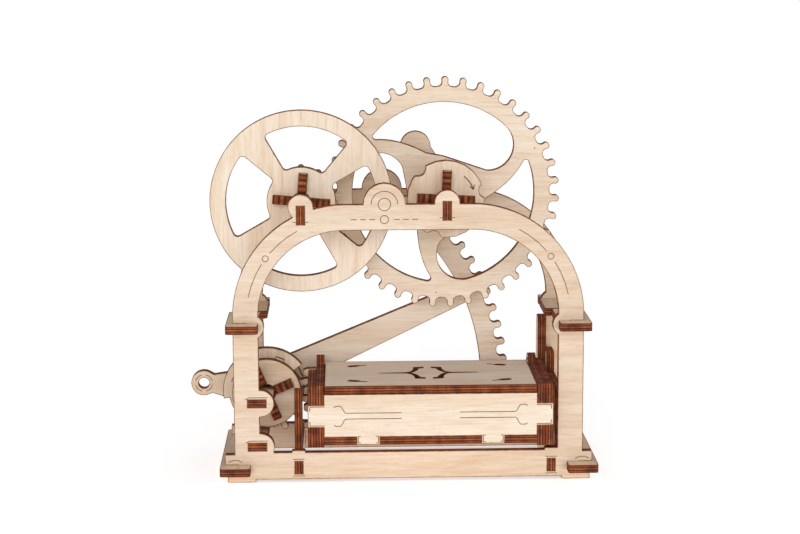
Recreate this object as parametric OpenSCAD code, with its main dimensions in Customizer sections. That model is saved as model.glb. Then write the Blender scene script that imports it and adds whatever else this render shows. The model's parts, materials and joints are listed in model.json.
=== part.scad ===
// Hand-cranked keepsake box of slotted plywood. A lever with a toothed sector
// spins a large gear and a flywheel, and a rack lifts the lidded box.
// Wheels lie in XZ planes and turn about Y. The front of the object faces -Y.

/* [Plywood] */
// Thickness of every sheet
ply = 3; // [2.6:0.1:3.6]
// Gap round a tab in its slot
slot_gap = 0.02; // [0:0.01:0.06]
// Radial gap between a strip axle and the bores that turn on it
turn_gap = 0.08; // [0.03:0.01:0.1]

/* [Stand] */
// Width over the two columns
span_w = 131; // [110:1:170]
// Width of a column
col_w = 9.5; // [8:0.5:14]
// Clear depth between the two frames
gap_y = 42; // [42:1:60]
// Height of the rail's upper edge
rail_top = 11.4; // [10:0.1:14]
// Height of the rail's lower edge above the floor
rail_low = 1.1; // [0.5:0.1:2]
// Height of the underside of the caps
cap_z = 58; // [50:1:66]
// Height of the flat top of the arch
arch_top = 105.2; // [95:0.2:130]
// Radius of the arch's outer corners
arch_r = 42; // [36:1:48]
// Depth of the band at the top of the arch
band_w = 9.6; // [8:0.2:12]
// Radius of the ears and bulges round the axle slots
ear_r = 4.7; // [4:0.1:5.5]
// Radius of the dome on the arch
dome_r = 7.9; // [6:0.1:10]
// Centre of the dome, along X
dome_x = -8.8; // [-12:0.1:-6]

/* [Feet and caps] */
// Width of a foot plate
foot_w = 11.4; // [10:0.2:13]
// How far feet and caps run out past the frames
overhang = 6; // [4:0.5:9]
// Width of a cap
cap_w = 12; // [11:0.5:14]
// How far a cap sits past the outside of its column
cap_out = 2.5; // [1.5:0.5:3]

/* [Axles] */
// Length of the slot that holds a strip axle
tab_w = 6.9; // [6:0.1:7.6]
// Half width of a strip axle between the frames
axle_half = 3; // [2.6:0.1:3.4]
// Large gear axis, along X
gear_x = 14.4; // [10:0.1:18]
// Lever axis, along X
lever_x = -53.9; // [-60:0.1:-48]
// Lever axis, height
lever_z = 30.4; // [28:0.1:33]
// Drop of the flywheel axis below the gear axis
fly_drop = 1.3; // [0:0.1:4]

/* [Gear train] */
// Module of every tooth
tooth_m = 2.21; // [2:0.01:2.4]
// Teeth of the large gear
gear_teeth = 39; // [36:1:42]
// Teeth of the flywheel pinion
fly_teeth = 10; // [10:1:12]
// Teeth of the sector's full circle
sector_teeth = 84; // [80:1:88]
// Teeth of the pinion behind the large gear
crown_teeth = 8; // [8:1:10]
// Teeth of the lift gear's full circle
lift_teeth = 14; // [13:1:15]
// Pressure angle
press_a = 25; // [20:1:27]
// Play between meshed flanks
play = 0.3; // [0.15:0.05:0.5]
// Travel of the lever
lever_swing = 44; // [20:1:44]

/* [Flywheel] */
// Radius of the flywheel
fly_r = 34.4; // [28:0.1:38]
// Width of its rim
fly_rim = 6.1; // [4:0.1:8]
// Radius of its hub
fly_hub = 13; // [12:0.1:15]

/* [Lever] */
// Radius of the front disc
lever_disc = 13.2; // [12.5:0.1:14]
// Distance from the axis to the finger ring
handle_len = 24.6; // [23:0.1:32]
// Direction of the handle at rest
handle_a = 175; // [165:1:180]
// Outer radius of the finger ring
ring_r = 4.9; // [4:0.1:6]
// Radius of the hole in the ring
ring_hole = 2.1; // [1.5:0.1:2.6]

/* [Box] */
// Outer width of the box
box_w = 91.2; // [70:0.2:92]
// Outer depth of the box
box_d = 45; // [36:0.5:46]
// Height of the end walls
box_h = 23.4; // [20:0.1:28]
// How far the box stands out in front of the frame
box_out = 9; // [6:0.5:12]
// Underside of the box above the floor
box_z = 15.6; // [15:0.1:17]
// Gap round the lid
lid_gap = 0.3; // [0.2:0.05:0.5]
// Radius of the lid's pivot bores
pivot_r = 3; // [2.9:0.05:3.2]

/* [Hidden] */
$fn = 64;
round_fn = 24;
key_count = 4;
corner_names = ["front_left", "front_right", "rear_left", "rear_right"];

birch = "#ecd4b6";
birch_light = "#f4e2c8";
birch_warm = "#e3c39c";

// Stand
half_w = span_w / 2;
col_in = half_w - col_w;
front_y = -(gap_y / 2 + ply);
rear_y = gap_y / 2;
foot_in = col_in + 3.6;
foot_out = foot_in + foot_w;
lap_foot = foot_in + 4.9;
leg_out = foot_out - 2.7;
lap_cap = half_w - 5;
foot_len = gap_y + 2 * ply + 2 * overhang;
cap_len = foot_len / 2 - 0.5;
stop_z = 13.7;
tab_up = 0.4;
foot_z = 3.8;
tenon_z = 3.1;
tenon_h = 4.9;

// Axles
gear_reach = tooth_m * (sector_teeth + crown_teeth) / 2;
gear_z = lever_z + sqrt(gear_reach * gear_reach - pow(gear_x - lever_x, 2));
fly_reach = tooth_m * (gear_teeth + fly_teeth) / 2;
fly_x = gear_x - sqrt(fly_reach * fly_reach - fly_drop * fly_drop);
fly_z = gear_z - fly_drop;
bore_r = sqrt(axle_half * axle_half + ply * ply / 4) + turn_gap;

// Keys: from the bore outwards, and a narrow tongue where a pinion is small
key_in = bore_r + 0.2;
key_out = key_in + 7;
fly_tongue = key_in + 3.6;
crown_tongue = key_in + 1.8;
fly_turn = -5;
gear_turn = -2.8;
lever_turn = 23;

// Teeth
rack_add = 0.66 * tooth_m;
tooth_ded = 1.05 * tooth_m;
mesh_sector = atan2(gear_z - lever_z, gear_x - lever_x);
mesh_fly = atan2(fly_z - gear_z, fly_x - gear_x);
sector_first = -12;
sector_last = 1;
sector_rim = 7;
lift_pitch_r = tooth_m * lift_teeth / 2;
rack_x = lever_x + lift_pitch_r;
lift_low_a = -73;
lift_high_a = 28;
lift_blank = 16.9;
lift_low_r = lever_z - stop_z - ply / 2 - 0.6;
blank_end_a = 190;

// Places of the sheets: the front ones count back from the front frame's face,
// the toothed ones and those behind them count forward from the rear frame
y_lever_rear = rear_y - 1 - ply;
y_sector = y_lever_rear - ply;
y_lobe = y_sector - 2 - ply;
y_mesh = y_lobe - 2 - ply;
y_fly = front_y + 16;
y_fly_spacer = y_mesh - 3 - ply;
y_fly_rear = y_mesh + ply + 2;
y_fly_key = y_fly - 2.5;
y_gear_disc = front_y + 9.5;
y_gear_key = y_gear_disc - 2.5;
y_lever_disc = front_y + 17;
y_lever_key = y_lever_disc - 2.4;
y_lift = y_lever_disc + ply + 1;
y_handle = y_lift + ply + 2;
tie_r = 12.3;

// Box
box_x1 = col_in - 2.6;
box_x0 = box_x1 - box_w;
box_y0 = front_y - box_out;
box_y1 = box_y0 + box_d;
box_top = box_z + box_h;
in_x0 = box_x0 + 2 * ply;
in_x1 = box_x1 - 2 * ply;
floor_z = box_z + 0.9;
lid_z = box_top - ply - 0.1;
pivot_y = box_y1 - 5;
pivot_z = lid_z + ply / 2;
lug_r = 4.7;
lid_ear = sqrt(pow(pivot_r - 0.085, 2) - ply * ply / 4);
panel_tab_z = floor_z + ply + 3.8;
panel_tab_h = 8.4;
panel_tab_w = 8.6;
panel_tab_at = 23.2;
wall_tab_d = 12;
outer_cut = 28;
post_d = 4.5;
side_x = box_x0 - 5.2;
guard_x = box_x1 + 1.8;
right_side_x = guard_x - ply;

// The origin is the middle of the whole object's outline, on the floor.
left_reach = lever_x + handle_len * cos(handle_a) - ring_r;
origin_x = (left_reach + foot_out) / 2;
origin_y = (min(box_y0, front_y - overhang) + rear_y + ply + overhang) / 2;

// Shared shapes

module place() {
    translate([-origin_x, -origin_y, 0]) children();
}

// An outline in XZ, made into a sheet whose front face is at y
module sheet(y, thick = ply) {
    translate([0, y + thick, 0]) rotate([90, 0, 0]) linear_extrude(thick) children();
}

// An outline in YZ, made into a sheet whose left face is at x
module side_sheet(x, thick = ply) {
    translate([x, 0, 0]) rotate([90, 0, 90]) linear_extrude(thick) children();
}

// An outline in XY, made into a sheet whose underside is at z
module floor_sheet(z) {
    translate([0, 0, z]) linear_extrude(ply) children();
}

module rounded(outer, inner = 0) {
    offset(r = outer, $fn = round_fn) offset(delta = -outer - inner)
        offset(r = inner, $fn = round_fn) children();
}

module box2(x0, z0, x1, z1) {
    translate([x0, z0]) square([x1 - x0, z1 - z0]);
}

module mirrored_x() {
    children();
    mirror([1, 0]) children();
}

module tab_slot(x, z, along_x = false) {
    w = ply + 2 * slot_gap;
    l = tab_w + 2 * slot_gap;
    if (along_x) translate([x + tab_up - l + slot_gap, z - w / 2]) square([l, w]);
    else translate([x - w / 2, z + tab_up - l + slot_gap]) square([w, l]);
}

// Teeth

function pitch_r(teeth) = tooth_m * teeth / 2;
function polar(r, a) = [r * cos(a), r * sin(a)];
function arc(r, a0, a1, n = 24) = [for (k = [0:n]) polar(r, a0 + (a1 - a0) * k / n)];
function curve(a, b, c, n = 10) =
    [for (k = [0:n]) let (t = k / n) (1 - t) * (1 - t) * a + 2 * t * (1 - t) * b + t * t * c];

// Round-ended teeth that stay inside an involute outline
module finger(teeth, mid) {
    r = pitch_r(teeth);
    rotate(mid) {
        translate([r + 0.04 * tooth_m, 0]) circle(0.6 * tooth_m, $fn = 20);
        translate([r - tooth_ded - 1, -0.55 * tooth_m]) square([tooth_ded + 1, 1.1 * tooth_m]);
    }
}

module soft_teeth(fillet) {
    offset(r = -fillet, $fn = 20) offset(delta = fillet) children();
}

module gear2(teeth, turn) {
    soft_teeth(teeth > 20 ? 0.75 * tooth_m : 0.5 * tooth_m) {
        circle(pitch_r(teeth) - tooth_ded, $fn = max(48, 3 * teeth));
        for (k = [0:teeth - 1]) finger(teeth, turn + k * 360 / teeth);
    }
}

module wedge2(r, a0, a1) {
    polygon(concat([[0, 0]], arc(r, a0, a1)));
}

// Keys and the slots they pass through

module key_slots(turn, reach) {
    for (k = [0:key_count - 1])
        rotate(turn + k * 90)
            translate([key_in - slot_gap, -ply / 2 - slot_gap])
                square([reach - key_in + 2 * slot_gap, ply + 2 * slot_gap]);
}

module wheel_sheet(x, z, y, turn, reach = key_out) {
    translate([x, 0, z]) difference() {
        sheet(y) difference() {
            children();
            key_slots(turn, reach);
        }
        translate([0, y - 1, 0]) rotate([-90, 0, 0]) cylinder(r = bore_r, h = ply + 2);
    }
}

module key_bar(x, z, turn, y0, y_step, y1, tongue) {
    translate([x, 0, z]) rotate([0, -turn, 0]) translate([0, 0, -ply / 2]) linear_extrude(ply)
        polygon([
            [key_in, y0], [key_out, y0], [key_out, y_step],
            [tongue, y_step], [tongue, y1], [key_in, y1]
        ]);
}

// Stand

module arch_shape(half, top, r) {
    intersection() {
        box2(-half, cap_z, half, top);
        union() {
            box2(-half, cap_z, half, top - r);
            box2(-half + r, cap_z, half - r, top);
            mirrored_x() translate([half - r, top - r]) circle(r, $fn = 180);
        }
    }
}

module frame_outline() {
    mirrored_x() {
        box2(col_in, rail_low, half_w, cap_z + ply);
        box2(foot_in, foot_z + ply, foot_out - 1.8, rail_top - 0.6);
        box2(foot_in - 2, 0, leg_out, foot_z + ply);
        translate([half_w - 7, cap_z + ply / 2]) circle(ear_r);
    }
    box2(-foot_in, rail_low, foot_in, rail_top);
    difference() {
        arch_shape(half_w, arch_top, arch_r);
        arch_shape(col_in, arch_top - band_w, arch_r - col_w);
    }
    translate([fly_x, fly_z]) circle(ear_r);
    translate([gear_x, gear_z]) circle(ear_r);
    translate([gear_x - ear_r, arch_top - 2]) square([2 * ear_r, gear_z - arch_top + 2]);
    translate([dome_x, arch_top]) circle(dome_r);
    translate([lever_x - 1.7, lever_z]) circle(ear_r + 0.4);
    translate([lever_x - 1.7, stop_z]) circle(ear_r + 0.4);
    for (x = [side_x, right_side_x]) box2(x - 1, rail_top - 1, x + ply + 1, rail_top + 0.8);
}

module frame_plate(y) {
    color(birch) place() sheet(y) difference() {
        rounded(0.5, 0.9) frame_outline();
        tab_slot(fly_x, fly_z);
        tab_slot(gear_x, gear_z);
        tab_slot(lever_x, lever_z, true);
        tab_slot(lever_x, stop_z, true);
        mirrored_x() box2(lap_cap, cap_z - slot_gap, half_w + 9, cap_z + ply + slot_gap);
        mirrored_x() box2(lap_foot, foot_z - slot_gap, foot_out + 9, foot_z + ply + slot_gap);
        for (x = [side_x, right_side_x])
            box2(x - slot_gap, tenon_z - slot_gap, x + ply + slot_gap, tenon_z + tenon_h + slot_gap);
    }
}

module foot_plate(side) {
    color(birch_light) place() floor_sheet(foot_z) difference() {
        scale([side, 1]) translate([foot_in, front_y - overhang])
            rounded(1.2) square([foot_w, foot_len]);
        for (y = [front_y, rear_y])
            scale([side, 1]) box2(foot_in - 1, y - slot_gap, lap_foot + slot_gap,
                                  y + ply + slot_gap);
    }
}

// A cap lapped over a column. The rear pair is the front pair turned half round.
module cap(side, rear) {
    turn = rear ? -1 : 1;
    mid = half_w - col_w / 2;
    color(birch_light) place() translate([side * mid, 0, 0]) floor_sheet(cap_z) difference() {
        scale([side * turn, -turn]) translate([-cap_w + col_w / 2 + cap_out, 0.5])
            rounded(1.4) square([cap_w, cap_len]);
        scale([side, rear ? 1 : -1])
            box2(-cap_w, rear_y - slot_gap, lap_cap - mid + slot_gap, rear_y + ply + slot_gap);
    }
}

module side_rail() {
    box2(front_y, tenon_z, rear_y + ply, tenon_z + tenon_h);
    box2(front_y + ply, tenon_z, rear_y, rail_top);
}

module left_side_plate() {
    color(birch) place() side_sheet(side_x) {
        side_rail();
        box2(front_y + ply, rail_top - 1, front_y + ply + post_d, 32.8);
        translate([front_y + ply + post_d / 2, 32.8]) circle(post_d / 2);
    }
}

module right_side_plate() {
    post_r = (rear_y - box_y1 - 2) / 2;
    color(birch) place() side_sheet(right_side_x) {
        side_rail();
        box2(box_y1 + 2, rail_top - 1, rear_y, cap_z - 2.5 - post_r);
        translate([rear_y - post_r, cap_z - 2.5 - post_r]) circle(post_r);
    }
}

module right_guard_plate() {
    color(birch) place() side_sheet(guard_x) rounded(2.4, 3) {
        box2(front_y + ply, rail_top - 4, rear_y, 34);
        box2(rear_y - 12, rail_top - 4, rear_y, 42);
    }
}

// Strip axles

module upright_axle(x, z) {
    color(birch_warm) place() side_sheet(x - ply / 2) {
        box2(front_y, z + tab_up - tab_w, front_y + ply + 1.5, z + tab_up);
        box2(rear_y - 1.8, z + tab_up - tab_w, rear_y + ply, z + tab_up);
        box2(front_y + ply, z - axle_half, rear_y, z + axle_half);
    }
}

module lever_axle() {
    color(birch_warm) place() floor_sheet(lever_z - ply / 2) {
        box2(lever_x + tab_up - tab_w, front_y, lever_x + tab_up, front_y + ply + 1.5);
        box2(lever_x + tab_up - tab_w, rear_y - 0.5, lever_x + tab_up, rear_y + ply);
        box2(lever_x - axle_half, front_y + ply, lever_x + axle_half, rear_y);
    }
}

module stop_strip() {
    color(birch_warm) place() floor_sheet(stop_z - ply / 2)
        box2(lever_x + tab_up - tab_w, front_y, lever_x + tab_up, rear_y + ply);
}

// Flywheel

module spoke_window() {
    r0 = fly_hub;
    r1 = fly_r - fly_rim;
    rounded(1.6) polygon(concat(arc(r1, -34, 34), arc(r0, 33, -33, 12)));
}

module flywheel() {
    color(birch_light) place() wheel_sheet(fly_x, fly_z, y_fly, fly_turn) difference() {
        circle(fly_r, $fn = 128);
        for (k = [0:3]) rotate(fly_turn + k * 90) spoke_window();
    }
}

module flywheel_disc(y, r, reach) {
    color(birch) place() wheel_sheet(fly_x, fly_z, y, fly_turn, reach) circle(r);
}

module flywheel_pinion() {
    color(birch_warm) place() wheel_sheet(fly_x, fly_z, y_mesh, fly_turn, fly_tongue)
        gear2(fly_teeth, mesh_fly + 180 + 180 / fly_teeth);
}

module flywheel_key(k) {
    color("saddlebrown") place()
        key_bar(fly_x, fly_z, fly_turn + 90 * k, y_fly_key, y_mesh - 1, y_fly_rear + ply + 1,
                fly_tongue);
}

// Large gear

module comma_window() {
    r = 0.824 * pitch_r(gear_teeth) - 0.7;
    end = [17.14, 18.26];
    rounded(1.2) polygon(concat(
        arc(r, 47, 143),
        curve([-27.4, 20.4], [-18, 21.6], [-6.5, 15.4]),
        [[0, 14.2], [6, 12.2]],
        [for (a = [-92:9:44]) end + polar(9.76, a)]
    ));
}

module large_gear() {
    color(birch_light) place() wheel_sheet(gear_x, gear_z, y_mesh, gear_turn) difference() {
        gear2(gear_teeth, mesh_fly);
        for (k = [0:2]) rotate(120 * k) comma_window();
    }
}

module gear_front_disc() {
    color(birch) place() wheel_sheet(gear_x, gear_z, y_gear_disc, gear_turn)
        rounded(0.8, 0.8) difference() {
            circle(14.6);
            for (k = [0:2]) rotate(132 + 120 * k) translate([15.6, 0]) circle(2.9);
        }
}

module gear_lobe_plate() {
    color(birch) place() wheel_sheet(gear_x, gear_z, y_lobe, gear_turn)
        rounded(0.4, 3) {
            circle(12.8);
            hull() {
                rotate(121) translate([6, 0]) circle(5.4);
                rotate(121) translate([16, 0]) circle(5);
            }
            rotate(121) translate([20.3, 0]) circle(5.9);
        }
}

module sector_pinion() {
    color(birch_warm) place() wheel_sheet(gear_x, gear_z, y_sector, gear_turn, crown_tongue)
        gear2(crown_teeth, mesh_sector + 180 + 180 / crown_teeth);
}

module gear_key(k) {
    color("saddlebrown") place()
        key_bar(gear_x, gear_z, gear_turn + 90 * k, y_gear_key, y_lobe + ply + 1,
                y_sector + ply + 1, crown_tongue);
}

// Lever

module lever_disc_sheet(y, r) {
    color(birch) place() wheel_sheet(lever_x, lever_z, y, lever_turn) circle(r);
}

module tie_slots(extra) {
    for (k = [0:2]) rotate(lever_turn + 45 + 90 * k) translate([tie_r, 0])
        square(ply + 2 * extra, center = true);
}

module lift_gear() {
    root = lift_pitch_r - tooth_ded;
    color(birch) place() wheel_sheet(lever_x, lever_z, y_lift, lever_turn) difference() {
        rounded(0.2, 0.2) {
            intersection() {
                gear2(lift_teeth, 180 / lift_teeth);
                wedge2(30, lift_low_a, lift_high_a);
            }
            wedge2(lift_blank, lift_high_a + 9, blank_end_a);
            wedge2(lift_low_r, blank_end_a, 360 + lift_low_a);
            circle(root - 0.2);
        }
        tie_slots(slot_gap);
    }
}

module lever_handle() {
    ring = polar(handle_len, handle_a);
    color(birch) place() difference() {
        wheel_sheet(lever_x, lever_z, y_handle, lever_turn) difference() {
            rounded(0.3, 4) {
                circle(lift_low_r - 0.2);
                translate(ring) circle(ring_r);
                hull() {
                    translate(ring) circle(2.7);
                    rotate(handle_a) translate([6, 0]) circle(7);
                }
            }
            tie_slots(slot_gap);
        }
        translate([lever_x + ring[0], y_handle - 1, lever_z + ring[1]])
            rotate([-90, 0, 0]) cylinder(r = ring_hole, h = ply + 2);
    }
}

module sector_shape() {
    in_r = pitch_r(sector_teeth) - tooth_ded - sector_rim;
    step = 360 / sector_teeth;
    low = mesh_sector + (sector_first - 0.5) * step;
    high = mesh_sector + (sector_last + 0.5) * step;
    soft_teeth(0.75 * tooth_m) {
        polygon(concat(arc(in_r + 2, high, low), arc(in_r + sector_rim, low, high)));
        for (k = [sector_first:sector_last]) finger(sector_teeth, mesh_sector + k * step);
    }
    rounded(0.3, 3) {
        polygon(concat(arc(in_r, low, high), arc(in_r + sector_rim - 0.6, high, low)));
        rotate((low + high) / 2) polygon([[0, 6.6], [0, -6.6], [in_r + 2, -3.8], [in_r + 2, 3.8]]);
        circle(12);
    }
}

module sector_arm() {
    color(birch_light) place() wheel_sheet(lever_x, lever_z, y_sector, lever_turn)
        sector_shape();
}

module lever_tie_pins() {
    color("saddlebrown") place() translate([lever_x, 0, lever_z])
        sheet(y_lift - 1, y_handle + ply + 2 - y_lift) tie_slots(0);
}

module lever_key(k) {
    y1 = y_lever_rear + ply;
    color("saddlebrown") place()
        key_bar(lever_x, lever_z, lever_turn + 90 * k, y_lever_key, y1, y1, key_out);
}

// Box

module panel(y, top) {
    color(birch_light) place() sheet(y) {
        box2(in_x0, floor_z + ply, in_x1, top);
        box2(box_x0, panel_tab_z, box_x1, panel_tab_z + panel_tab_h);
        for (s = [-1, 1])
            translate([(box_x0 + box_x1) / 2 + s * panel_tab_at - panel_tab_w / 2, floor_z])
                square([panel_tab_w, ply + 1]);
    }
}

module box_bottom() {
    w = panel_tab_w + 2 * slot_gap;
    mid = (box_x0 + box_x1) / 2;
    tab_y = (box_y0 + box_y1 - wall_tab_d) / 2;
    color(birch) place() floor_sheet(floor_z) difference() {
        union() {
            box2(in_x0, box_y0, in_x1, box_y1);
            box2(in_x0 - ply, tab_y, in_x1 + ply, tab_y + wall_tab_d);
        }
        for (s = [-1, 1], y = [box_y0 - 1, box_y1 - ply - slot_gap])
            translate([mid + s * panel_tab_at - w / 2, y]) square([w, ply + slot_gap + 1]);
    }
}

module wall_outline(y_end) {
    difference() {
        box2(box_y0, box_z, y_end, box_top);
        for (y = [box_y0 - 1, box_y1 - ply - slot_gap])
            box2(y, panel_tab_z - slot_gap, y + ply + slot_gap + 1,
                 panel_tab_z + panel_tab_h + slot_gap);
    }
}

module inner_wall(x, rack) {
    tab_y = (box_y0 + box_y1 - wall_tab_d) / 2;
    color(birch) place() difference() {
        side_sheet(x) difference() {
            union() {
                wall_outline(box_y1);
                translate([pivot_y, pivot_z]) circle(lug_r);
            }
            box2(tab_y - slot_gap, floor_z - slot_gap, tab_y + wall_tab_d + slot_gap,
                 floor_z + ply + slot_gap);
            if (rack)
                box2(y_lift - slot_gap, panel_tab_z - slot_gap, y_lift + ply + slot_gap,
                     panel_tab_z + panel_tab_h + slot_gap);
        }
        translate([x - 1, pivot_y, pivot_z]) rotate([0, 90, 0])
            cylinder(r = pivot_r, h = ply + 2);
    }
}

module outer_wall(x, y_end) {
    color(birch) place() side_sheet(x) wall_outline(y_end);
}

module rack_tooth(z) {
    slope = tan(press_a);
    half = PI * tooth_m / 4 - play / 4;
    translate([rack_x, z]) polygon([
        [tooth_ded + 0.2, half + tooth_ded * slope], [0, half],
        [-rack_add, half - rack_add * slope], [-rack_add, -half + rack_add * slope],
        [0, -half], [tooth_ded + 0.2, -half - tooth_ded * slope]
    ]);
}

module box_rack() {
    pitch = PI * tooth_m;
    wall = in_x0 - ply;
    color(birch_warm) place() sheet(y_lift) {
        intersection() {
            soft_teeth(0.4) union() {
                box2(rack_x + tooth_ded, box_z - 6, wall + 3, box_top + 6);
                for (k = [-3:2]) rack_tooth(lever_z + k * pitch);
            }
            box2(rack_x - 5, box_z, wall, box_top);
        }
        box2(wall - 0.5, panel_tab_z, wall + ply, panel_tab_z + panel_tab_h);
    }
}

// Lid

module comma_cut() {
    rotate(-20) polygon(concat(
        curve([3.7, 0.3], [3.4, 1.5], [1.6, 1.4]), curve([1.6, 1.4], [-0.4, 1.3], [-1, 0.4]),
        [[-3.7, 0.3], [-3.7, -0.3], [-1, -0.4]],
        curve([-1, -0.4], [-0.4, -1.3], [1.6, -1.2]), [[3.2, -0.9]]
    ));
}

// A long slit that parts into two curled arms near the middle of the lid
function arm_side(t) = concat(
    [[18.5, 0.25 * t], [9, 0.75 * t]],
    curve([9, 0.75 * t], [6.3, 1.2 * t], [5.5, 5.6 * t], 8),
    [[5.2, 9.6 * t], [1.6, 10.2 * t], [1.6, 8 * t], [3.3, 7.4 * t]],
    curve([3.3, 7.4 * t], [4.4, 2.2 * t], [6.6, 0.2 * t], 8)
);
function backwards(list) = [for (k = [len(list) - 1:-1:0]) list[k]];

module anchor_cut() {
    polygon(concat(arm_side(1), backwards(arm_side(-1))));
}

module lid() {
    x0 = in_x0 + lid_gap;
    x1 = in_x1 - lid_gap;
    mid_x = (x0 + x1) / 2;
    y1 = pivot_y + 2;
    mid_y = (box_y0 + y1) / 2;
    color(birch_light) place() floor_sheet(lid_z) difference() {
        union() {
            box2(x0, box_y0, x1, y1);
            box2(in_x0 - ply + lid_gap, pivot_y - lid_ear, in_x1 + ply - lid_gap, y1);
        }
        for (s = [-1, 1]) {
            translate([mid_x, mid_y]) scale([s, 1]) anchor_cut();
            for (t = [-1, 1])
                translate([mid_x + s * 27, mid_y + t * 13]) scale([s, t]) comma_cut();
        }
    }
}

frame_plate(front_y);  // front_frame
frame_plate(rear_y);  // rear_frame
foot_plate(-1);  // left_foot_plate
foot_plate(1);  // right_foot_plate
for (k = [0:3])
    cap(k % 2 * 2 - 1, k > 1);
left_side_plate();
right_side_plate();
right_guard_plate();
upright_axle(fly_x, fly_z);  // flywheel_axle
upright_axle(gear_x, gear_z);  // gear_axle
lever_axle();
stop_strip();
flywheel();
flywheel_disc(y_fly_spacer, 12.4, key_out);  // flywheel_spacer_disc
flywheel_pinion();
flywheel_disc(y_fly_rear, 9.6, fly_tongue);  // flywheel_rear_disc
for (k = [1:key_count])
    flywheel_key(k);
large_gear();
gear_front_disc();
gear_lobe_plate();
sector_pinion();
for (k = [1:key_count])
    gear_key(k);
lever_disc_sheet(y_lever_disc, lever_disc);  // lever_front_disc
lift_gear();
lever_handle();
sector_arm();
lever_disc_sheet(y_lever_rear, 11.6);  // lever_rear_disc
lever_tie_pins();
for (k = [1:key_count])
    lever_key(k);
box_bottom();
panel(box_y0, lid_z - 0.2);  // box_front_panel
panel(box_y1 - ply, lid_z - 1.4);  // box_rear_panel
outer_wall(box_x0, box_y0 + outer_cut);  // box_left_outer_wall
inner_wall(box_x0 + ply, true);  // box_left_inner_wall
inner_wall(in_x1, false);  // box_right_inner_wall
outer_wall(in_x1 + ply, box_y1);  // box_right_outer_wall
box_rack();
lid();
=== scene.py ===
import json
import math

import bmesh
import bpy
from mathutils import Matrix, Vector

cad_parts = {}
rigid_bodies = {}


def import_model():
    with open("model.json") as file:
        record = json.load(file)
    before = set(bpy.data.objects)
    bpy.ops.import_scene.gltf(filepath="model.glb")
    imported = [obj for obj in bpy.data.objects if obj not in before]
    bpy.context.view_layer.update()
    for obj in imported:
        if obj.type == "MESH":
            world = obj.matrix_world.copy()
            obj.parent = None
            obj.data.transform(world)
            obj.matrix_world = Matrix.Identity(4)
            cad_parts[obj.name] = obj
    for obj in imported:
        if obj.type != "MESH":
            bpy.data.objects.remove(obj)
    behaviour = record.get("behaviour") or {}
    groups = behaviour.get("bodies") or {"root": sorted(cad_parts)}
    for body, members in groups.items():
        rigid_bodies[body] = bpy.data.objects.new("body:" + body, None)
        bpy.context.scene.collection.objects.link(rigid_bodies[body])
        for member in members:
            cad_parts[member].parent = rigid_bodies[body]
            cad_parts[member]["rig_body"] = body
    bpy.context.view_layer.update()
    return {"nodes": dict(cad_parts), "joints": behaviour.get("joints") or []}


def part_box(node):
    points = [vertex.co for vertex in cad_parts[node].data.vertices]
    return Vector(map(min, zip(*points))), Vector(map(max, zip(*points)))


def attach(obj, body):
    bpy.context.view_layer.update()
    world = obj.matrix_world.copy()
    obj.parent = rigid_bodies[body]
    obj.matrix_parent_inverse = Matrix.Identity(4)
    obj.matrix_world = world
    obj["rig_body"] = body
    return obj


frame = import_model()
nodes = frame["nodes"]
print("frame loaded:", len(nodes), "plywood pieces")

mm = 0.001
jointAt = {j["name"]: Vector(j["pos_m"]) for j in frame["joints"] if "pos_m" in j}
gearAxis = jointAt["gear_spin"]
flywheelAxis = jointAt["flywheel_spin"]
leverAxis = jointAt["lever_turn"]
bodyOf = {n: o["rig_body"] for n, o in nodes.items()}
alongX, alongY, alongZ = Vector((1, 0, 0)), Vector((0, 1, 0)), Vector((0, 0, 1))


def colour(hexCode):
    # sRGB hex to linear RGBA
    parts = [int(hexCode[i : i + 2], 16) / 255 for i in (1, 3, 5)]
    linear = [c / 12.92 if c <= 0.04045 else ((c + 0.055) / 1.055) ** 2.4 for c in parts]
    return linear + [1.0]


def addNode(tree, kind, inputs=None, **settings):
    node = tree.nodes.new("ShaderNode" + kind)
    for key, value in settings.items():
        setattr(node, key, value)
    for key, value in (inputs or {}).items():
        if isinstance(value, bpy.types.NodeSocket):
            tree.links.new(value, node.inputs[key])
        else:
            node.inputs[key].default_value = value
    return node


def newMaterial(name):
    material = bpy.data.materials.new(name)
    material.use_nodes = True
    material.node_tree.nodes.clear()
    return material, material.node_tree


def ramp(tree, value, stops):
    node = addNode(tree, "ValToRGB", {"Fac": value})
    elements = node.color_ramp.elements
    while len(elements) < len(stops):
        elements.new(0.5)
    for element, (place, hexCode) in zip(elements, stops):
        element.position = place
        element.color = colour(hexCode)
    return node.outputs[0]


def multiply(tree, amount, under, over):
    inputs = {0: amount, 6: under, 7: over}
    node = addNode(tree, "Mix", inputs, data_type="RGBA", blend_type="MULTIPLY")
    return node.outputs[2]


def dot(tree, a, b):
    node = addNode(tree, "VectorMath", {0: a, 1: b}, operation="DOT_PRODUCT")
    return node.outputs["Value"]


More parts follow.
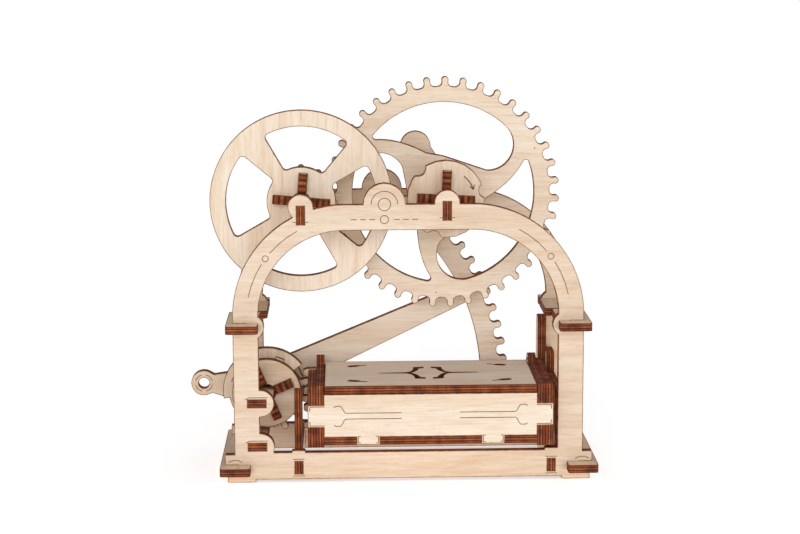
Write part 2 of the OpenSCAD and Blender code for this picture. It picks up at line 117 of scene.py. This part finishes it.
# three-ply birch, 3 mm, laser cut: the faces are pale with faint long streaks,
# and the beam leaves the edges charred, with the plies still showing as bands
plywood = {
    "streakAcross": 0.7 * mm,
    "streakAlong": 11 * mm,
    "figureAcross": 7 * mm,
    "figureAlong": 60 * mm,
    "fleckAcross": 0.28 * mm,
    "fleckAlong": 2.6 * mm,
    "streakDepth": 0.03 * mm,
    "patch": 4.5 * mm,
    "beamAcross": 0.35 * mm,
    "beamAlong": 5 * mm,
    "plyWander": 0.05,
    "wanderScale": 260.0,
    "faceRoughness": 0.56,
    "edgeRoughness": 0.78,
}
tones = {
    "pale": ("#F8EAD9", "#F3E1CC", "#EAD2B8"),
    "cream": ("#F1DFCB", "#E9D3BC", "#DEC3A6"),
    "warm": ("#E8D1B8", "#DDC2A5", "#CDAB8A"),
}
burntPlies = [
    (0.00, "#2E140A"),
    (0.07, "#7E3C1A"),
    (0.20, "#AA5A2E"),
    (0.29, "#86411F"),
    (0.34, "#401A0B"),
    (0.39, "#652D14"),
    (0.48, "#B76A38"),
    (0.56, "#C67C44"),
    (0.62, "#6C3216"),
    (0.66, "#401A0B"),
    (0.72, "#7E3C1A"),
    (0.84, "#AA5A2E"),
    (0.94, "#703516"),
    (1.00, "#2A1209"),
]


def stretched(grain, across, along):
    # noise scale along each axis: slow along the grain, quick across it
    return [abs(g) / along + (1 - abs(g)) / across for g in grain]


def plywoodMaterial(name, normal, low, thickness, grain, tone, seed):
    material, tree = newMaterial(name)
    at = addNode(tree, "TexCoord")
    place, facing = at.outputs["Object"], at.outputs["Normal"]

    def grainNoise(across, along, detail, shift, distortion=0.0):
        inputs = {
            "Vector": place,
            "Scale": stretched(grain, across, along),
            "Location": [seed * 3.1 + shift] * 3,
        }
        spread = addNode(tree, "Mapping", inputs)
        inputs = {
            "Vector": spread.outputs[0],
            "Scale": 1.0,
            "Detail": detail,
            "Roughness": 0.6,
            "Distortion": distortion,
        }
        return addNode(tree, "TexNoise", inputs).outputs["Fac"]

    # which of the sheet's sides this is: its face, or the cut edge
    size = addNode(tree, "Math", {0: dot(tree, facing, normal)}, operation="ABSOLUTE")
    inputs = {"Value": size.outputs[0], "From Min": 0.5, "From Max": 0.72}
    isFace = addNode(tree, "MapRange", inputs).outputs[0]

    # face: broad figure, fine streaks and short darker flecks
    broad = grainNoise(plywood["figureAcross"], plywood["figureAlong"], 2.0, 0.0, 0.8)
    figure = ramp(tree, broad, list(zip((0.30, 0.52, 0.74), tones[tone])))
    streak = grainNoise(plywood["streakAcross"], plywood["streakAlong"], 3.0, 7.0, 0.3)
    streakStops = [(0.30, "#F0E8DF"), (0.50, "#FBF8F5"), (0.66, "#FFFFFF")]
    streaked = multiply(tree, 0.9, figure, ramp(tree, streak, streakStops))
    fleck = grainNoise(plywood["fleckAcross"], plywood["fleckAlong"], 1.0, 13.0)
    fleckTint = ramp(tree, fleck, [(0.60, "#FFFFFF"), (0.70, "#E6D5C2")])
    faceColour = multiply(tree, 0.4, streaked, fleckTint)

    # edge: the three plies in bands through the thickness, wandering a little
    inputs = {"Vector": place, "Scale": plywood["wanderScale"], "Detail": 2.0}
    wobble = addNode(tree, "TexNoise", inputs)
    wander = plywood["plyWander"] * thickness
    inputs = {"Value": wobble.outputs["Fac"], "To Min": -wander, "To Max": wander}
    drift = addNode(tree, "MapRange", inputs)
    inputs = {0: dot(tree, place, normal), 1: drift.outputs[0]}
    lifted = addNode(tree, "Math", inputs, operation="ADD")
    inputs = {"Value": lifted.outputs[0], "From Min": low, "From Max": low + thickness}
    depth = addNode(tree, "MapRange", inputs)
    bands = ramp(tree, depth.outputs[0], burntPlies)

    # fine upright scorch marks from the beam, and broader charred patches
    beamScale = stretched(normal, plywood["beamAcross"], plywood["beamAlong"])
    beam = addNode(tree, "Mapping", {"Vector": place, "Scale": beamScale})
    inputs = {"Vector": beam.outputs[0], "Scale": 1.0, "Detail": 3.0}
    beamNoise = addNode(tree, "TexNoise", inputs)
    beamStops = [(0.34, "#B8A69C"), (0.52, "#EDE4DC"), (0.70, "#FFFFFF")]
    beamTint = ramp(tree, beamNoise.outputs["Fac"], beamStops)
    inputs = {"Vector": place, "Scale": 1 / plywood["patch"], "Detail": 2.0}
    patch = addNode(tree, "TexNoise", inputs)
    patchStops = [(0.36, "#A68F82"), (0.52, "#E6D8CE"), (0.66, "#FFFFFF")]
    patchTint = ramp(tree, patch.outputs["Fac"], patchStops)
    edgeColour = multiply(tree, 0.6, multiply(tree, 0.9, bands, patchTint), beamTint)

    inputs = {0: isFace, 6: edgeColour, 7: faceColour}
    mixed = addNode(tree, "Mix", inputs, data_type="RGBA")
    inputs = {
        "Value": isFace,
        "To Min": plywood["edgeRoughness"],
        "To Max": plywood["faceRoughness"],
    }
    roughness = addNode(tree, "MapRange", inputs)
    inputs = {"Strength": 0.5, "Distance": plywood["streakDepth"], "Height": streak}
    bump = addNode(tree, "Bump", inputs)
    inputs = {
        "Base Color": mixed.outputs[2],
        "Roughness": roughness.outputs[0],
        "Normal": bump.outputs[0],
    }
    shader = addNode(tree, "BsdfPrincipled", inputs)
    shader.inputs["IOR"].default_value = 1.45
    shader.inputs["Specular IOR Level"].default_value = 0.35
    addNode(tree, "OutputMaterial", {"Surface": shader.outputs[0]})
    return material


def burntLine(name, dark, light, grainSize):
    # the thin brown line the beam leaves where it marks or cuts
    material, tree = newMaterial(name)
    at = addNode(tree, "TexCoord")
    inputs = {"Vector": at.outputs["Object"], "Scale": 1 / grainSize, "Detail": 3.0}
    patches = addNode(tree, "TexNoise", inputs)
    tint = ramp(tree, patches.outputs["Fac"], [(0.36, dark), (0.64, light)])
    shader = addNode(tree, "BsdfPrincipled", {"Base Color": tint})
    shader.inputs["Roughness"].default_value = 0.85
    shader.inputs["Specular IOR Level"].default_value = 0.2
    addNode(tree, "OutputMaterial", {"Surface": shader.outputs[0]})
    return material


charredRim = burntLine("charredBirchRim", "#754A2B", "#B0855E", 2.2 * mm)
laserScore = burntLine("laserScoredBirch", "#6B4A33", "#94714F", 1.5 * mm)


# which way each sheet lies, its grain and its tone
def keyNormal(turn, index):
    a = math.radians(turn + 90 * (index - 1))
    return Vector((-math.sin(a), 0, math.cos(a)))


keyTurns = {"flywheel": -5.0, "gear": -2.8, "lever": 23.0}
lying = {
    alongY.freeze(): {
        "front_frame": ("x", "cream"),
        "rear_frame": ("x", "cream"),
        "flywheel": ("z", "pale"),
        "flywheel_spacer_disc": ("x", "cream"),
        "flywheel_pinion": ("x", "warm"),
        "flywheel_rear_disc": ("z", "cream"),
        "large_gear": ("x", "pale"),
        "gear_front_disc": ("z", "cream"),
        "gear_lobe_plate": ("x", "cream"),
        "sector_pinion": ("z", "warm"),
        "lever_front_disc": ("x", "cream"),
        "lift_gear": ("z", "cream"),
        "lever_handle": ("x", "cream"),
        "sector_arm": ("x", "pale"),
        "lever_rear_disc": ("z", "cream"),
        "lever_tie_pins": ("z", "warm"),
        "box_front_panel": ("x", "pale"),
        "box_rear_panel": ("x", "cream"),
        "box_rack": ("z", "warm"),
    },
    alongX.freeze(): {
        "left_side_plate": ("y", "cream"),
        "right_side_plate": ("z", "cream"),
        "right_guard_plate": ("z", "cream"),
        "flywheel_axle": ("y", "warm"),
        "gear_axle": ("y", "warm"),
        "box_left_outer_wall": ("y", "cream"),
        "box_left_inner_wall": ("y", "cream"),
        "box_right_inner_wall": ("y", "cream"),
        "box_right_outer_wall": ("y", "cream"),
    },
    alongZ.freeze(): {
        "left_foot_plate": ("y", "cream"),
        "right_foot_plate": ("y", "cream"),
        "front_left_cap": ("y", "cream"),
        "front_right_cap": ("y", "cream"),
        "rear_left_cap": ("y", "warm"),
        "rear_right_cap": ("y", "cream"),
        "lever_axle": ("y", "warm"),
        "stop_strip": ("y", "warm"),
        "box_bottom": ("x", "cream"),
        "lid": ("x", "pale"),
    },
}
sheets = {}
for normal, group in lying.items():
    for name, look in group.items():
        sheets[name] = (normal, *look)
for wheel, turn in keyTurns.items():
    for index in range(1, 5):
        sheets[f"{wheel}_key_{index}"] = (keyNormal(turn, index), "y", "warm")

grainAxis = {"x": alongX, "y": alongY, "z": alongZ}

for seed, (name, (normal, grain, tone)) in enumerate(sorted(sheets.items())):
    heights = [v.co.dot(normal) for v in nodes[name].data.vertices]
    low, high = min(heights), max(heights)
    along = grainAxis[grain]
    cut = plywoodMaterial("birchPly_" + name, normal, low, high - low, along, tone, seed)
    for slot in nodes[name].material_slots:
        slot.material = cut
print("birch plywood on", len(sheets), "sheets")

# burnt rims: a narrow brown border where each face meets its cut edge
rim = {"width": 0.26 * mm, "proud": 0.012 * mm, "weld": 0.001 * mm}


def finishPiece(name, bm, material, body):
    mesh = bpy.data.meshes.new(name)
    bm.to_mesh(mesh)
    bm.free()
    mesh.materials.append(material)
    piece = bpy.data.objects.new(name, mesh)
    bpy.context.scene.collection.objects.link(piece)
    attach(piece, body)
    return piece


def burntRim(name, normal):
    bm = bmesh.new()
    bm.from_mesh(nodes[name].data)
    bmesh.ops.remove_doubles(bm, verts=bm.verts, dist=rim["weld"])
    bmesh.ops.dissolve_degenerate(bm, edges=bm.edges, dist=rim["weld"])
    faces = [f for f in bm.faces if abs(f.normal.dot(normal)) > 0.98]
    inset = bmesh.ops.inset_region(
        bm, faces=faces, thickness=rim["width"], use_even_offset=True, use_boundary=True
    )
    keep = set(inset["faces"])
    bmesh.ops.delete(bm, geom=[f for f in bm.faces if f not in keep], context="FACES")
    for side in (1, -1):
        verts = {v for f in bm.faces if f.normal.dot(normal) * side > 0 for v in f.verts}
        bmesh.ops.translate(bm, verts=list(verts), vec=normal * side * rim["proud"])
    return finishPiece("rim_" + name, bm, charredRim, bodyOf[name])


# the tie pins are too small to show a rim
for name, (normal, *look) in sorted(sheets.items()):
    if name != "lever_tie_pins":
        burntRim(name, normal)
print("burnt rims drawn")

# scored lines: fine laser marks on the faces
score = {
    "width": 0.3 * mm,
    "proud": 0.016 * mm,
    "weld": 0.0005 * mm,
    "degreesPerStep": 6,
    "fewestSteps": 3,
}


def facePlane(node, side):
    # a plane just off the front or rear face of a sheet: u runs along X and v along Z
    low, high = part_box(node)
    y = low.y - score["proud"] if side == "-y" else high.y + score["proud"]
    return Matrix(((1, 0, 0, 0), (0, 0, -1, y), (0, 1, 0, 0), (0, 0, 0, 1)))


def onCircle(centre, radius, degrees):
    a = math.radians(degrees)
    return centre[0] + radius * math.cos(a), centre[1] + radius * math.sin(a)


def scoreArc(bm, centre, radius, start, end, width=None):
    width = width or score["width"]
    sweep = end - start
    ray = Vector((*onCircle((0, 0), 1, start), 0))
    middle = Vector((*centre, 0))
    ends = [bm.verts.new(middle + ray * (radius + s * width / 2)) for s in (-1, 1)]
    edge = bm.edges.new(ends)
    bmesh.ops.spin(
        bm,
        geom=[*ends, edge],
        cent=middle,
        axis=(0, 0, 1),
        angle=math.radians(sweep),
        steps=max(score["fewestSteps"], int(abs(sweep) / score["degreesPerStep"])),
        use_merge=abs(sweep) >= 360,
    )


def scoreLine(bm, a, b, width=None):
    width = width or score["width"]
    a, b = Vector((*a, 0)), Vector((*b, 0))
    run = b - a
    turn = Matrix.Rotation(math.atan2(run.y, run.x), 4, "Z")
    shape = Matrix.Diagonal((run.length / 2, width / 2, 1, 1))
    place = Matrix.Translation((a + b) / 2) @ turn @ shape
    bmesh.ops.create_grid(bm, x_segments=1, y_segments=1, size=1, matrix=place)


def scorePath(bm, points):
    for a, b in zip(points, points[1:]):
        scoreLine(bm, a, b)


def scoreDot(bm, centre, radius):
    place = Matrix.Translation((*centre, 0))
    bmesh.ops.create_circle(bm, cap_ends=True, segments=14, radius=radius, matrix=place)


def finishScore(name, bm, node, side):
    bmesh.ops.remove_doubles(bm, verts=bm.verts, dist=score["weld"])
    bmesh.ops.transform(bm, matrix=facePlane(node, side), verts=bm.verts)
    outward = {"-y": -alongY, "+y": alongY}[side]
    bm.normal_update()
    inward = [f for f in bm.faces if f.normal.dot(outward) < 0]
    bmesh.ops.reverse_faces(bm, faces=inward)
    finishPiece(name, bm, laserScore, bodyOf[node])


# stand: arcs along the arch, marks at the slots, and a plain ring on the dome
archLines = {
    "cornerX": 23.5 * mm,
    "cornerZ": 63.2 * mm,
    "radius": 36.8 * mm,
    "from": 118.5,
    "to": 168.0,
    "eyeAt": 143.0,
    "eyeRadius": 1.1 * mm,
    "eyeGap": 4.0,
}
dome = {
    "x": -8.8 * mm,
    "z": 105.2 * mm,
    "outerRing": 4.9 * mm,
    "innerRing": 2.3 * mm,
    "bandDrop": 5.6 * mm,
    "bandRing": 1.5 * mm,
    "dashes": 3,
    "dashPitch": 3.4 * mm,
    "dashLength": 2.2 * mm,
}
slotMarks = {
    "stopZ": 13.7 * mm,
    "left": 6.5 * mm,
    "inset": 0.4 * mm,
    "right": 1.0 * mm,
    "rise": 2.3 * mm,
    "tailX": 0.8 * mm,
    "tailZ": 0.7 * mm,
}
tenonMarks = {
    "left": (-43 * mm, -40 * mm),
    "right": (52.2 * mm, 55.2 * mm),
    "low": 2.3 * mm,
    "high": 8.8 * mm,
    "past": 0.7 * mm,
}
footWave = [
    (67.9 * mm, 8.0 * mm),
    (66.4 * mm, 8.6 * mm),
    (64.2 * mm, 8.6 * mm),
    (62.8 * mm, 7.8 * mm),
]
bearingMarks = {"inner": 1.8 * mm, "outer": 2.9 * mm, "drop": 5.6 * mm}


def markArch(bm, middleX):
    a = archLines
    for s in (-1, 1):
        corner = (middleX + s * a["cornerX"], a["cornerZ"])
        first, gapStart, eye, gapEnd, last = (
            angle if s < 0 else 180 - angle
            for angle in (
                a["from"],
                a["eyeAt"] - a["eyeGap"],
                a["eyeAt"],
                a["eyeAt"] + a["eyeGap"],
                a["to"],
            )
        )
        scoreArc(bm, corner, a["radius"], first, gapStart)
        scoreArc(bm, corner, a["radius"], gapEnd, last)
        scoreArc(bm, onCircle(corner, a["radius"], eye), a["eyeRadius"], 0, 360)


def markDome(bm, middleX):
    # two plain rings; the band under them has a plain row of dashes and one ring
    x, bandZ = middleX + dome["x"], dome["z"] - dome["bandDrop"]
    scoreArc(bm, (x, dome["z"]), dome["outerRing"], 0, 180)
    scoreArc(bm, (x, dome["z"]), dome["innerRing"], 0, 360)
    scoreArc(bm, (x, bandZ), dome["bandRing"], 0, 360)
    for s in (-1, 1):
        for k in range(dome["dashes"]):
            start = x + s * dome["dashPitch"] * (k + 1)
            scoreLine(bm, (start, bandZ), (start + s * dome["dashLength"], bandZ))


def markSlots(bm, middleX):
    # marks by the slots of the lever axle and the stop
    m = slotMarks
    for z in (leverAxis.z, m["stopZ"]):
        left, top = leverAxis.x - m["left"], z + m["rise"]
        start = (left + m["inset"], top)
        scoreLine(bm, start, (leverAxis.x + m["right"], top))
        scoreLine(bm, start, (left - m["tailX"], top - m["tailZ"]))
    # and by those of the side plates
    t = tenonMarks
    for x0, x1 in (t["left"], t["right"]):
        for z in (t["low"], t["high"]):
            scoreLine(bm, (middleX + x0 - t["past"], z), (middleX + x1 + t["past"], z))


def markFrame(node, side):
    low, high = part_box(node)
    middleX = (low.x + high.x) / 2
    bm = bmesh.new()
    markArch(bm, middleX)
    markDome(bm, middleX)
    markSlots(bm, middleX)
    for s in (-1, 1):
        scorePath(bm, [(middleX + s * x, z) for x, z in footWave])
    b = bearingMarks
    for axis in (flywheelAxis, gearAxis):
        z = axis.z - b["drop"]
        for s in (-1, 1):
            scoreLine(bm, (axis.x + s * b["inner"], z), (axis.x + s * b["outer"], z))
    finishScore("scores_" + node, bm, node, side)


markFrame("front_frame", "-y")
markFrame("rear_frame", "+y")

# box panel: two mirrored brackets, and small marks inside the end tabs
panelLines = {
    "middleUp": 11.0 * mm,
    "inner": 10.8 * mm,
    "step": 31.4 * mm,
    "stepRun": 2.2 * mm,
    "outer": 35.9 * mm,
    "turnX": 0.6 * mm,
    "turnZ": 0.5 * mm,
    "narrow": 1.1 * mm,
    "wide": 3.8 * mm,
    "bendSteps": 8,
    "cornerIn": 0.8 * mm,
    "cornerRun": 5.4 * mm,
    "cornerHigh": 3.6 * mm,
    "cornerLow": 2.0 * mm,
}
tabMarks = {
    "at": 23.2 * mm,
    "half": 3.7 * mm,
    "hook": 0.9 * mm,
    "low": 0.7 * mm,
    "high": 3.2 * mm,
}


def markPanel(node, side):
    low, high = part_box(node)
    middleX = (low.x + high.x) / 2
    middleZ = low.z + panelLines["middleUp"]
    p = panelLines
    rise = p["wide"] - p["narrow"]
    end = (high.x - low.x) / 2 - p["cornerIn"]
    bm = bmesh.new()
    for s in (-1, 1):
        for t in (-1, 1):

            def at(u, v):
                return middleX + s * u, middleZ + t * v

            scoreLine(bm, at(p["inner"], p["narrow"]), at(p["step"], p["narrow"]))
            bend = []
            for k in range(p["bendSteps"] + 1):
                share = k / p["bendSteps"]
                ease = 0.5 - 0.5 * math.cos(share * math.pi)
                bend.append(at(p["step"] + p["stepRun"] * share, p["narrow"] + rise * ease))
            scorePath(bm, bend)
            turned = at(p["outer"], p["wide"] - p["turnZ"])
            scorePath(bm, [bend[-1], at(p["outer"] - p["turnX"], p["wide"]), turned])
            corner = at(end, p["cornerHigh"])
            start = at(end - p["cornerRun"], p["cornerHigh"])
            scorePath(bm, [start, corner, at(end, p["cornerLow"])])
        for t in (-1, 1):
            x = middleX + s * tabMarks["at"] + t * tabMarks["half"]
            hook = x - t * tabMarks["hook"]
            z0, z1 = low.z + tabMarks["low"], low.z + tabMarks["high"]
            scorePath(bm, [(hook, z0), (x, z0), (x, z1), (hook, z1)])
    finishScore("scores_" + node, bm, node, side)


markPanel("box_front_panel", "-y")
markPanel("box_rear_panel", "+y")

# lever: a broken ring round the finger hole
handle = {"length": 24.6 * mm, "angle": 175.0, "markRadius": 3.3 * mm, "sweep": 62}
bm = bmesh.new()
grip = onCircle((leverAxis.x, leverAxis.z), handle["length"], handle["angle"])
for start in (15, 105, 195, 285):
    scoreArc(bm, grip, handle["markRadius"], start, start + handle["sweep"])
finishScore("scores_lever_handle", bm, "lever_handle", "-y")

# gear: a turning arrow on the front disc and small dots along the rim
arrow = {
    "radius": 10.9 * mm,
    "from": 19.0,
    "to": 52.0,
    "head": 1.9 * mm,
    "spread": 28,
    "width": 0.45 * mm,
}
centre = (gearAxis.x, gearAxis.z)
bm = bmesh.new()
scoreArc(bm, centre, arrow["radius"], arrow["from"], arrow["to"], arrow["width"])
point = onCircle(centre, arrow["radius"], arrow["from"])
for side in (-1, 1):
    barb = onCircle(point, arrow["head"], arrow["from"] + 90 + side * arrow["spread"])
    scoreLine(bm, point, barb, arrow["width"])
finishScore("scores_gear_front_disc", bm, "gear_front_disc", "-y")

gearDots = {
    "teeth": 39,
    "every": 13,
    "first": 3,
    "turn": -1.8,
    "inset": 5.6 * mm,
    "radius": 0.28 * mm,
}
bm = bmesh.new()
low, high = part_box("large_gear")
dotRadius = (high.x - low.x) / 2 - gearDots["inset"]
for k in range(gearDots["first"], gearDots["teeth"], gearDots["every"]):
    turn = k * 360 / gearDots["teeth"] + gearDots["turn"]
    scoreDot(bm, onCircle(centre, dotRadius, turn), gearDots["radius"])
finishScore("dots_large_gear", bm, "large_gear", "-y")
print("scored lines drawn")

# a wide pale floor that reaches past the view, so there is no horizon in it
white = (1.0, 1.0, 1.0)
studio = {"floorSize": 14.0, "floor": "#FBFBFC", "floorGlow": 0.5, "world": 0.44}
keyLight = {"strength": 0.76, "softness": 32, "tilt": 68, "turn": -14, "tint": (1.0, 0.99, 0.98)}
fillLight = {"strength": 0.46, "softness": 40, "tilt": 74, "turn": 24, "tint": white}
floorMaterial, tree = newMaterial("paleStudioFloor")
shader = addNode(tree, "BsdfPrincipled")
shader.inputs["Base Color"].default_value = colour(studio["floor"])
shader.inputs["Roughness"].default_value = 0.9
shader.inputs["Emission Color"].default_value = (*white, 1.0)
shader.inputs["Emission Strength"].default_value = studio["floorGlow"]
shader.inputs["Specular IOR Level"].default_value = 0.1
addNode(tree, "OutputMaterial", {"Surface": shader.outputs[0]})
bm = bmesh.new()
bmesh.ops.create_grid(bm, x_segments=8, y_segments=8, size=studio["floorSize"])
mesh = bpy.data.meshes.new("floor")
bm.to_mesh(mesh)
bm.free()
mesh.materials.append(floorMaterial)
floor = bpy.data.objects.new("floor", mesh)
bpy.context.scene.collection.objects.link(floor)

world = bpy.data.worlds.new("studioSky")
world.use_nodes = True
sky = world.node_tree.nodes["Background"]
sky.inputs["Color"].default_value = (*white, 1.0)
sky.inputs["Strength"].default_value = studio["world"]
bpy.context.scene.world = world


def addSun(name, strength, softness, tilt, turn, tint):
    lamp = bpy.data.lights.new(name, "SUN")
    lamp.energy = strength
    lamp.angle = math.radians(softness)
    lamp.color = tint
    lampObject = bpy.data.objects.new(name, lamp)
    lampObject.rotation_euler = (math.radians(tilt), 0, math.radians(turn))
    bpy.context.scene.collection.objects.link(lampObject)


# a soft key light from the front left, and a weaker fill from the front right
addSun("keyLight", **keyLight)
addSun("fillLight", **fillLight)

view = {
    "at": (-0.018068, -0.717145, 0.200147),
    "yaw": 1.738,
    "down": 9.664,
    "roll": -0.2386,
    "lens": 85.67,
    "sensor": 36.0,
    "near": 0.01,
    "far": 60.0,
}
camera = bpy.data.cameras.new("camera")
camera.sensor_width = view["sensor"]
camera.lens = view["lens"]
camera.clip_start = view["near"]
camera.clip_end = view["far"]
cameraObject = bpy.data.objects.new("camera", camera)
yaw = Matrix.Rotation(math.radians(-view["yaw"]), 4, "Z")
pitch = Matrix.Rotation(math.radians(90 - view["down"]), 4, "X")
roll = Matrix.Rotation(math.radians(view["roll"]), 4, "Z")
aim = yaw @ pitch @ roll
cameraObject.matrix_world = Matrix.Translation(view["at"]) @ aim
bpy.context.scene.collection.objects.link(cameraObject)
bpy.context.scene.camera = cameraObject
bpy.context.scene.view_settings.view_transform = "Standard"
print("studio ready")
